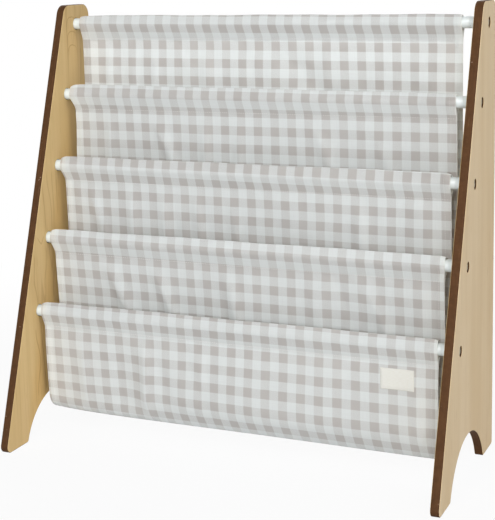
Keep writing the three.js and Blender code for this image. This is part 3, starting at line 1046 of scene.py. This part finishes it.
def sew_seams(sling, thread):
    """Thread of one sling: along its seams under the rods, and along both side hems."""
    across = sling.column_at(np.linspace(sling.left + 1 * MM, sling.right - 1 * MM, 300))
    upper, lower = (axis[1] - SEAM_DROP + 0.4 * MM for axis in (sling.upper, sling.lower))
    bold, fine = 0.27 * MM, 0.14 * MM
    lines = [stitch_line(sling, sling.row_at(upper, "back"), across, 1, bold)]
    if sling.number == 1:
        lines.append(stitch_line(sling, sling.row_at(upper, "tail"), across, 1))
    if sling.lowest:
        lines.append(stitch_line(sling, sling.row_at(lower, "front"), across, -1, bold))
        lines.append(stitch_line(sling, sling.row_at(lower, "front_tail"), across, -1))
    else:
        lines.append(stitch_line(sling, sling.row_at(lower - 1.2 * MM, "front"), across, 1))
    rows = np.linspace(0, len(sling.along) - 1.01, 700)
    inset = sling.settings.hem - 2.4 * MM
    for x in (sling.left + inset, sling.right - inset):
        lines += [stitch_line(sling, rows, sling.column_at(x), face, fine, 1.0)
                  for face in (-1, 1)]
    return sew(f"stitches_{sling.number}", lines, thread)


def make_patch(sling, settings, thread):
    """Blank patch sewn on the lowest front wall: a small sheet that follows the wall, lower
    along its edge than inside it, with a row of stitches just inside the edge."""
    low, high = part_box("blank_patch")
    x, z = np.linspace(low.x, high.x, 37), np.linspace(high.z, low.z, 23)
    rows = sling.row_at(z, "front")
    moved = sling.points[int(rows.mean()), :, 0]

    def spot(place_x, row, lift):
        return sling.spot(row, np.interp(place_x, moved, np.arange(len(moved))), lift)

    grid, normal = spot(x[None, :], rows[:, None], 0.0)
    inset, half = 1.7 * MM, settings.thickness * 0.5
    edge = np.minimum(np.minimum(x - x[0], x[-1] - x), np.minimum(z[0] - z, z - z[-1])[:, None])
    clear, crown, dimple, dimple_width = 0.30 * MM, 0.35 * MM, 0.25 * MM, 0.7 * MM
    rise = half + clear + crown * smooth_step(edge, 0.5 * MM, 4 * MM)
    rise -= dimple * np.exp(-((edge - inset) / dimple_width) ** 2)
    flat = np.stack(np.broadcast_arrays(x[None, :], z[:, None]), -1)
    mesh = new_mesh("patch", grid - normal * rise[..., None], grid_faces(*grid.shape[:2]), flat)
    patch = place("patch", mesh, patch_cotton(settings), ["blank_patch"])
    thicken(patch, 0.35 * MM)
    left, right, top, bottom = x[0] + inset, x[-1] - inset, z[0] - inset, z[-1] + inset
    corners = [(left, top), (right, top), (right, bottom), (left, bottom)]
    pitch, long, lines = 2.2 * MM, 1.6 * MM, []
    for (ax, az), (bx, bz) in zip(corners, corners[1:] + corners[:1]):
        side = math.hypot(bx - ax, bz - az)
        at = np.arange(0.2 * MM, side - 1.5 * MM, pitch)
        (start, normal), (end, _) = (
            spot(ax + (bx - ax) * share, sling.row_at(az + (bz - az) * share, "front"),
                 -(half + 0.62 * MM)) for share in (at / side, (at + long) / side))
        lines.append(stitch_row(start, end, -normal, 0.13 * MM))
    sewn = sew("patch_stitches", lines, thread)


class SHELF_OT_slings(bpy.types.Operator):
    """Make the four sewn slings, with their sleeves, side hems, stitches and bare patch"""
    bl_idname = "shelf.slings"
    bl_label = "Slings"

    def execute(self, context):
        settings = context.scene.shelf_cloth
        cloth = gingham_cloth(settings)
        thread = sewing_thread(settings)
        for number in ROD_NUMBERS[:-1]:
            sling = Sling(number, settings)
            sheet = sling.sheet(cloth)
            seams = sew_seams(sling, thread)
            width, long = sling.right - sling.left, sling.along[-1]
        make_patch(sling, settings, thread)
        return {"FINISHED"}


# Materials

# Brown veins on the faces that look inwards: place across at the top and at the bottom end,
# how far the middle bends back, height of both ends, in mm, and strength
INNER_VEINS = ((108, 105, 0, 545, 488, 0.9), (-13.6, -10.9, 0.3, 354, 297, 0.8),
               (-2, 5.8, 2.5, 372, 299, 0.6), (11.3, 11.2, 1.5, 372, 298, 0.6),
               (23.4, 22.4, 0, 360, 320, 0.5), (-44.6, -41.9, -4, 258, 195, 0.8),
               (-12.5, -21, 0.5, 265, 214, 0.7), (5.6, 0.6, 0, 242, 200, 0.7),
               (-51, -52.4, 8.5, 152, 64, 1.0), (-36.9, -32, 0.5, 162, 68, 1.0))


def grain_figure(y, z, ragged, middle, width, period, start, last):
    """Growth lines of a flat-sawn board: nested arches. Their height plus a share of
    q / (1 - q), where q is the square of the distance from the middle over the half width, is
    the same along one line, so the sides turn upright. Lines are counted from the start, and
    those past the last are left out. Their width is kept even by dividing by the steepness."""
    aside = (y - middle) / width
    square = aside.wires.math("MINIMUM", aside * aside, 0.982)
    rest = 1.0 - square
    turns = (square / rest * (5 * MM) + (ragged - 0.5) * (5 * MM) + z - start) / period
    off = abs(turns - aside.wires.math("ROUND", turns)) * period
    slope = abs(aside) * (10 * MM / width) / (rest * rest)
    steep = aside.wires.math("SQRT", slope * slope + 1.0)
    line = (off / steep).span(0.3 * MM, 1.1 * MM, 1.0, 0.0)
    return line * square.span(0.93, 0.98, 1.0, 0.0) * turns.span(last - 0.4, last - 0.35)


def veins_along(y, z, ragged, table):
    """Upright veins, each from its upper to its lower end with a bend, made ragged by noise,
    together with one short mark like a V."""
    mark_y, mark_z, mark_slope = -25.5 * MM, 277.5 * MM, 1.15
    wavy = ragged * (4 * MM) + (y - 2 * MM)
    aside = abs(wavy - mark_y)
    off = abs(aside * -mark_slope + z - mark_z)
    total = off.span(0.5 * MM, 1.6 * MM, 0.8, 0.0) * aside.span(7 * MM, 11 * MM, 1.0, 0.0)
    for top_y, low_y, bend, top, low, weight in table:
        share = z.span(low * MM, top * MM)
        straight = share * ((top_y - low_y) * MM) + low_y * MM
        middle = share * (1.0 - share) * (4 * bend * MM) + straight
        line = abs(wavy - middle).span(0.4 * MM, 1.5 * MM, weight, 0.0)
        line = line * z.span((low - 9) * MM, low * MM)
        line = line * z.span(top * MM, (top + 9) * MM, 1.0, 0.0)
        total = total.most(line)
    return total


def maple_veneer(name, base, inwards):
    """Maple. The faces that look inwards have a figure of arches near the top and a few brown
    veins, and the others have one faint figure. Fine fibres, short dark flecks and broad soft
    streaks lie over them, and a darker, browner band away from the front is painted shade:
    strong on the faces that look inwards, beside the cloth, and faint on the others."""
    wires = material_wires(name)
    x, y, z, here = wires.object_place()
    base = np.array(base)

    def grain(across, up, detail=2):
        """Noise stretched upright: how fine it is across the board and up it."""
        return wires.stretched((y, z, x), (across, up, 8), detail)

    fibres, flecks = grain(1300, 26, 3), grain(420, 34, 1)
    streaks = grain(95, 1.6, 3) if inwards else grain(34, 2.2, 2)
    broad, ragged, bands = grain(26, 1.2), grain(90, 20), grain(9, 7, 1)
    cloudy = wires.noise(here, 16, 3)
    # low, high and most set the band of painted shade: where it starts and ends behind the front,
    # and how strong it is
    if inwards:
        arches = grain_figure(y, z, ragged, 86 * MM, 15 * MM, 20.5 * MM, 575.5 * MM, -1)
        arches = arches * z.span(0.44, 0.53) * y.span(86 * MM, 99 * MM, 1.0, 0.30)
        line = arches.most(veins_along(y, z, ragged, INNER_VEINS))
        low, high, most, vein_share = -0.092, -0.066, 0.62, 0.34
    else:
        line = grain_figure(y, z, ragged, -60 * MM, 26 * MM, 31 * MM, 300 * MM, -9)
        line = line * z.span(0.20, 0.30, 0.0, 0.35)
        low, high, most, vein_share = -0.10, 0.10, 0.12, 0.10
    wander_line = (grain(24, 1.3) * 9.0).zigzag(1.0)
    vein = wander_line.span(0.0, 0.10, 1.0, 0.0) * bands.span(0.44, 0.62)
    # Painted shade: a darker, browner band away from the front edge, standing in for the shade and
    # the bounce light from the wood inside the shelf beside the cloth
    behind_front = broad * (24 * MM) + (z * -0.326 + y)
    painted_shade = behind_front.span(low, high, 0.0, z.span(0.33, 0.50, most, 0.35 * most))
    brown = base * [0.60, 0.45, 0.27]
    shade = wires.layered(
        base * 1.03,
        (streaks.span(0.30, 0.72), base * [0.955, 0.935, 0.90]),
        (cloudy.span(0.38, 0.66, 0.0, 0.35), base * [0.97, 0.93, 0.86]),
        (painted_shade, base * [0.93, 0.82, 0.62]),
        (fibres.span(0.48, 0.80, 0.0, 0.13), base * [0.72, 0.64, 0.52]),
        (flecks.span(0.70, 0.80, 0.0, 0.32), brown),
        (line * 0.60, brown),
        (vein * vein_share, brown))
    return wires.surface(shade, fibres, 0.05 * MM, 0.25, specular_ior_level=0.3,
                         roughness=streaks.span(0.3, 0.7, 0.46, 0.56))


def fibreboard_edge(settings):
    """Stained fibreboard edge: dark brown, mottled, with fine fibres along the layers, darker
    lines beside both veneers, and a few small chips where the pale board shows."""
    wires = material_wires("fibreboard_edge")
    x, y, z, here = wires.object_place()

    def layered_noise(across, along, detail=2):
        return wires.stretched((x, y, z), (across, along, along), detail)

    mottle, chips = wires.noise(here, 140, 4, 0.6), wires.noise(here, 125, 2, 0.6)
    fibres, layers = layered_noise(2200, 260), layered_noise(420, 9)
    scratches = layered_noise(900, 22, 1)
    inner, outer = board_span("left")
    depth = abs(abs(x) - (inner + outer) / 2)
    rim = depth.span(0.30 * (outer - inner), 0.44 * (outer - inner))
    base = np.array(settings.edge)
    shade = wires.layered(
        base * 0.90,
        (mottle.span(0.35, 0.68), base * 1.14),
        (layers.span(0.42, 0.72, 0.0, 0.5), base * 0.80),
        (fibres.span(0.60, 0.80, 0.0, 0.20), (0.20, 0.11, 0.06)),
        (rim * 0.55, base * [0.66, 0.64, 0.60]),
        (scratches.span(0.70, 0.78, 0.0, 0.45), (0.26, 0.15, 0.09)),
        (chips.span(0.70, 0.745) * 0.55, (0.40, 0.27, 0.19)))
    return wires.surface(shade, fibres + mottle, 0.10 * MM, 0.35, roughness=0.70,
                         specular_ior_level=0.12)


def powder_coat(settings):
    """White powder coat: a fine orange peel, slightly cool."""
    wires = material_wires("rod_powder_coat")
    *_, here = wires.object_place()
    peel, cloudy = wires.noise(here, 900), wires.noise(here, 14)
    base = np.array(settings.paint)
    shade = wires.layered(base, (cloudy.span(0.35, 0.65), base * 0.965))
    return wires.surface(shade, peel, 0.04 * MM, 0.4, roughness=0.36, specular_ior_level=0.45)


def plug_plastic(settings):
    """Moulded white plastic: matte, with faint flow marks."""
    wires = material_wires("plug_plastic")
    x, y, z, here = wires.object_place()
    flow, grain = wires.stretched((x, y, z), (300, 90, 90), 3), wires.noise(here, 2500, 1)
    base = np.array(settings.plastic)
    shade = wires.layered(base, (flow.span(0.35, 0.70), base * [0.97, 0.965, 0.945]))
    return wires.surface(shade, grain, 0.03 * MM, 0.3, roughness=0.46, specular_ior_level=0.5)


def zinc_plate(settings):
    """Zinc-plated steel: dull bright metal, cloudy, with darker specks."""
    wires = material_wires("bolt_zinc")
    *_, here = wires.object_place()
    specks, cloudy = wires.noise(here, 1500, 3, 0.6), wires.noise(here, 260)
    base = np.array(settings.zinc)
    shade = wires.layered(base * 1.12, (cloudy.span(0.35, 0.68), base * 0.80),
                          (specks.span(0.60, 0.75, 0.0, 0.5), base * 0.45))
    return wires.surface(shade, specks, 0.03 * MM, 0.35, metallic=0.85,
                         roughness=specks.span(0.3, 0.7, 0.34, 0.52))


def gingham_cloth(settings):
    """Plain-weave cotton. Stripes of grey threads both ways make the checks: where only one
    of the two threads is grey, the threads on top take turns, so the square is a half tone."""
    wires = material_wires("gingham_cotton")
    across, along, flat = wires.flat_place()
    pitch = settings.thread_pitch
    column = across.zigzag(2 * settings.check_width).span(0.235, 0.265, 1.0, 0.0)
    row = along.zigzag(2 * settings.check_height).span(0.235, 0.265, 1.0, 0.0)
    checker = wires.add("ShaderNodeTexChecker",
                        {"Vector": flat, "Scale": 1 / pitch, "Color1": (1, 1, 1, 1),
                         "Color2": (0, 0, 0, 1)})
    on_top = Value(wires, checker.outputs["Fac"])
    cover = ((column + row) * 0.5 * 0.7 + ((column - row) * on_top + row) * 0.3) ** 1.4
    slub = (wires.stretched((across, along, 0.0), (1600, 40, 1), 1)
            + wires.stretched((across, along, 3.0), (40, 1600, 1), 1))
    clouds = wires.noise(flat, 9)
    white, grey = np.array(settings.white), np.array(settings.grey)
    shade = wires.layered(white, (cover, grey), (slub.span(0.8, 1.3, 0.0, 0.10), grey * 0.9),
                          (clouds.span(0.35, 0.70, 0.0, 0.10), white * [1.0, 0.97, 0.95]))
    height = slub * 0.15 + across.zigzag(pitch) * along.zigzag(pitch)
    return wires.surface(shade, height, 0.12 * MM, 0.30, roughness=0.88, specular_ior_level=0.12,
                         subsurface_weight=0.95, subsurface_radius=(1.0, 1.0, 1.0),
                         subsurface_scale=1.5 * MM, sheen_weight=0.12, sheen_roughness=0.5)


def sewing_thread(settings):
    """Cream polyester thread."""
    wires = material_wires("sewing_thread")
    *_, here = wires.object_place()
    twist = wires.noise(here, 2500)
    base = np.array(settings.stitch)
    shade = wires.layered(base, (twist.span(0.35, 0.68), base * 0.82))
    return wires.surface(shade, twist, 0.05 * MM, 0.4, roughness=0.6, specular_ior_level=0.3,
                         sheen_weight=0.1)


def patch_cotton(settings):
    """Cream cotton tape: a fine plain weave, slightly slubbed."""
    wires = material_wires("patch_cotton")
    across, along, _ = wires.flat_place()
    pitch = 0.42 * MM
    slub = wires.stretched((across, along, 0.0), (200, 2200, 1), 2)
    base = np.array(settings.patch)
    shade = wires.layered(base, (slub.span(0.35, 0.70), base * [0.955, 0.945, 0.92]))
    height = slub * 0.3 + across.zigzag(pitch) * along.zigzag(pitch)
    return wires.surface(shade, height, 0.10 * MM, 0.4, roughness=0.85, specular_ior_level=0.15,
                         sheen_weight=0.1)


# Stage

def pale_floor():
    """Pale floor. What the camera sees of it is lifted towards white, wholly so a metre and
    more from the object, and partly under it, where the shadow stays."""
    wires = material_wires("pale_floor")
    *_, here = wires.object_place()
    shade = wires.layered((0.69, 0.70, 0.71),
                          (wires.noise(here, 3).span(0.3, 0.7), (0.73, 0.74, 0.75)))
    matte = wires.add("ShaderNodeBsdfPrincipled",
                      {"Base Color": shade, "Roughness": 0.9, "Specular IOR Level": 0.1})
    glow = wires.add("ShaderNodeEmission", {"Color": (1, 1, 1, 1), "Strength": 1.0})
    away = wires.add("ShaderNodeVectorMath", {0: here}, operation="LENGTH").outputs["Value"]
    seen = wires.rays("Camera", "Glossy", "Transmission")
    return wires.blend(seen * Value(wires, away).span(0.5, 1.3, 0.93, 1.0), matte, glow)


def studio_world(daylight):
    """Faint light from all round, where the camera and glossy surfaces see white."""
    wires = Wiring(bpy.data.worlds.new("studio"), "ShaderNodeOutputWorld")
    soft = wires.add("ShaderNodeBackground", {"Color": (0.93, 0.97, 1.0, 1.0), "Strength": daylight})
    white = wires.add("ShaderNodeBackground", {"Color": (1, 1, 1, 1)})
    return wires.blend(wires.rays("Camera", "Glossy"), soft, white)


def sheet_of_floor():
    """A large flat floor whose edge is far outside every view."""
    reach = 12.0
    corners = np.array([(-1, -1, 0), (1, -1, 0), (1, 1, 0), (-1, 1, 0)]) * reach
    mesh = new_mesh("floor", corners, np.array([[0, 1, 2, 3]]))
    mesh.materials.append(pale_floor())
    return add_object("floor", mesh)


def photo_camera(focal_length):
    """The camera: its place, and the directions to its right, up and ahead, from a fit."""
    lens = bpy.data.cameras.new("camera")
    lens.sensor_width, lens.lens, lens.shift_y, lens.clip_end = 36.0, focal_length, -0.11538, 60.0
    camera = add_object("camera", lens)
    right = (0.91588563, 0.40073676, -0.0237394)
    up = (-0.05034082, 0.17332073, 0.98357802)
    ahead = np.array([-0.3982704, 0.89964992, -0.17891538])
    turn = np.eye(4)
    turn[:3] = np.stack([right, up, -ahead, (0.71005, -1.57831, 0.66737)], -1)
    camera.matrix_world = Matrix(turn.tolist())
    return camera


def lamp(name, place_at, target, size, power):
    """A square soft lamp that faces a point."""
    data = bpy.data.lights.new(name, "AREA")
    data.size, data.energy = size, power
    light = add_object(name, data)
    light.visible_camera = False
    turn = (Vector(place_at) - Vector(target)).to_track_quat("Z", "Y").to_matrix().to_4x4()
    light.matrix_world = Matrix.Translation(place_at) @ turn


class SHELF_OT_stage(bpy.types.Operator):
    """Set up the camera, the floor and the studio light"""
    bl_idname = "shelf.stage"
    bl_label = "Stage"

    def execute(self, context):
        scene, settings = context.scene, context.scene.shelf_stage
        scene.view_settings.view_transform = "Standard"
        scene.camera = photo_camera(settings.lens)
        sheet_of_floor()
        scene.world = studio_world(settings.daylight)
        lamp("window_light", (0.85, -3.0, 1.75), (0.0, 0.0, 0.35), 2.4, settings.key)
        lamp("side_fill", (3.0, -0.9, 1.5), (0.0, 0.0, 0.3), 2.0, settings.key * 0.19)
        lamp("back_fill", (-1.2, 3.0, 1.9), (0.0, 0.0, 0.35), 2.4, settings.key * 0.52)
        return {"FINISHED"}


# Panel and registration

class SHELF_PT_panel(bpy.types.Panel):
    """Steps and settings of the bookshelf"""
    bl_idname = "SHELF_PT_panel"
    bl_label = "Sling bookshelf"
    bl_space_type = "VIEW_3D"
    bl_region_type = "UI"
    bl_category = "Bookshelf"

    def draw(self, context):
        for operator in OPERATORS:
            self.layout.operator(operator.bl_idname)
        for group in GROUPS:
            settings = getattr(context.scene, group)
            box = self.layout.box()
            for name in settings.__annotations__:
                box.prop(settings, name)


GROUPS = {
    "shelf_boards": BoardSettings,
    "shelf_rods": RodSettings,
    "shelf_cloth": ClothSettings,
    "shelf_stage": StageSettings,
}
OPERATORS = (
    SHELF_OT_stage, SHELF_OT_boards, SHELF_OT_rods, SHELF_OT_plugs, SHELF_OT_bolts,
    SHELF_OT_slings,
)
CLASSES = (*GROUPS.values(), *OPERATORS, SHELF_PT_panel)


def register():
    for kind in CLASSES:
        bpy.utils.register_class(kind)
    for name, group in GROUPS.items():
        setattr(bpy.types.Scene, name, PointerProperty(type=group))


def unregister():
    for name in GROUPS:
        delattr(bpy.types.Scene, name)
    for kind in reversed(CLASSES):
        bpy.utils.unregister_class(kind)


def main():
    register()
    bpy.ops.shelf.stage()
    bpy.ops.shelf.boards()
    bpy.ops.shelf.rods()
    bpy.ops.shelf.plugs()
    bpy.ops.shelf.bolts()
    bpy.ops.shelf.slings()


if __name__ == "__main__":
    main()
